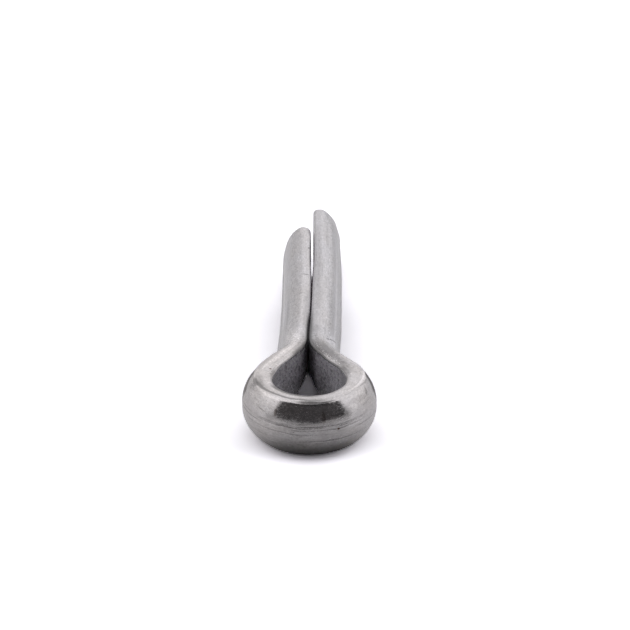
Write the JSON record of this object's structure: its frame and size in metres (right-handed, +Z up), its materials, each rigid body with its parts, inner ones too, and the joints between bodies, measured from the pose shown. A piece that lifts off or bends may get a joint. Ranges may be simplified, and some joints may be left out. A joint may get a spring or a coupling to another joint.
{
  "type": "cotter pin",
  "caption": "Split cotter pin: half-round steel wire folded into a round eye, with a straight round shank of parallel legs of unequal length.",
  "frame": {"origin": "on the shank's axis, where the legs end and the neck under the eye begins", "axes": "+Y along the shank from the eye to the free ends of the legs, +Z up with the eye lying flat, and the long leg on the +X side"},
  "size_m": [0.0092, 0.0304, 0.0042],
  "materials": {
    "steel": "drawn wire, bent and tumbled to a dull satin"
  },
  "bodies": {
    "root": {"cotter_pin": "steel"}
  },
  "joints": []
}
